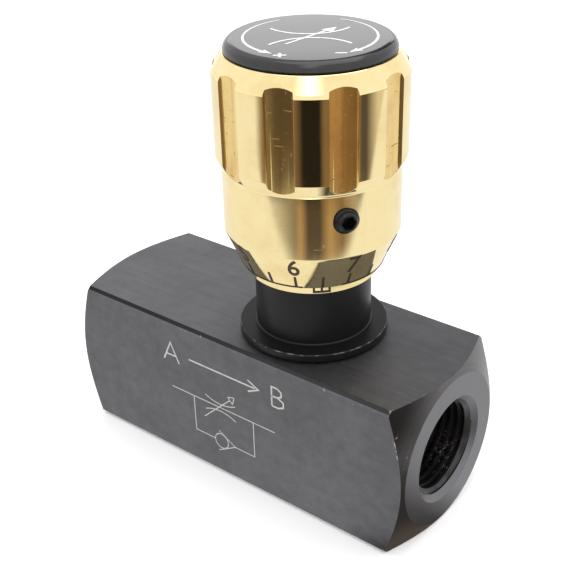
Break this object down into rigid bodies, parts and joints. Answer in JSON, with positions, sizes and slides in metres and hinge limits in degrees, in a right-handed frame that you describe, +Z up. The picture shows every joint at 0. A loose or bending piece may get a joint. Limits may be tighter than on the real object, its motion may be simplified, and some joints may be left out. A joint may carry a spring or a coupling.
{
  "type": "flow control valve",
  "caption": "In-line hydraulic needle valve with a reverse free-flow check: square steel body, taper-threaded ports and a graduated, fluted brass knob with a black cap.",
  "frame": {"origin": "middle of the body's underside, which is also the bottom centre of the whole valve", "axes": "+X along the ports towards port B, where the controlled flow leaves; +Z up through the knob; -Y out of the front face with the flow symbol"},
  "size_m": [0.0716, 0.0302, 0.078],
  "materials": {
    "blackened_steel": "blackened steel, ground faces and turned ends, oiled satin",
    "black_sleeve": "black, smooth turned, semi-gloss",
    "polished_brass": "polished, with dark engraved scale",
    "black_cap": "gloss black with white marks",
    "black_screw": "black oxide",
    "bright_steel": "turned, bright",
    "spring_steel": "drawn wire, oiled",
    "seal_rubber": "matte nitrile",
    "white_plastic": "matte PTFE and nylon"
  },
  "bodies": {
    "valve_body": {"body_block": "blackened_steel", "bonnet": "black_sleeve", "bonnet_o_ring": "seal_rubber", "dust_o_ring": "seal_rubber", "spindle_stop_ring": "spring_steel", "check_spring": "spring_steel", "spring_retainer": "bright_steel", "retainer_snap_ring": "spring_steel"},
    "needle": {"needle": "bright_steel", "needle_o_ring": "seal_rubber", "needle_backup_ring": "white_plastic"},
    "knob": {"knob": "polished_brass", "spindle": "bright_steel", "needle_clip": "spring_steel", "knob_washer": "bright_steel", "knob_screw": "bright_steel", "knob_cap": "black_cap"},
    "lock_pad": {"lock_pad": "white_plastic"},
    "lock_screw": {"lock_screw": "black_screw"},
    "check_poppet": {"check_poppet": "bright_steel"}
  },
  "joints": [
    {"name": "needle_lift", "type": "slide", "parent": "valve_body", "child": "needle", "axis": [0, 0, 1], "range_m": [-0.00151, 0.00251]},
    {"name": "knob_turn", "type": "hinge", "parent": "needle", "child": "knob", "pos_m": [0.0084, 0, 0.05], "axis": [0, 0, 1], "range_deg": [-540, 900]},
    {"name": "lock_pad_slide", "type": "slide", "parent": "knob", "child": "lock_pad", "axis": [0.8471, -0.5314, 0], "range_m": [-0.00001, 0.00141]},
    {"name": "lock_screw_turn", "type": "hinge", "parent": "lock_pad", "child": "lock_screw", "pos_m": [0.0084, 0, 0.0538], "axis": [0.8471, -0.5314, 0], "range_deg": [0, 720]},
    {"name": "check_open", "type": "slide", "parent": "valve_body", "child": "check_poppet", "axis": [-1, 0, 0], "range_m": [0, 0.003], "stiffness_N_per_m": 500, "springref_m": -0.004, "deforming": ["check_spring"]}
  ],
  "couplings": [
    {"joint": "needle_lift", "follows": "knob_turn", "m_per_rad": 0.00015915},
    {"joint": "lock_pad_slide", "follows": "lock_screw_turn", "m_per_rad": 0.00011141}
  ]
}
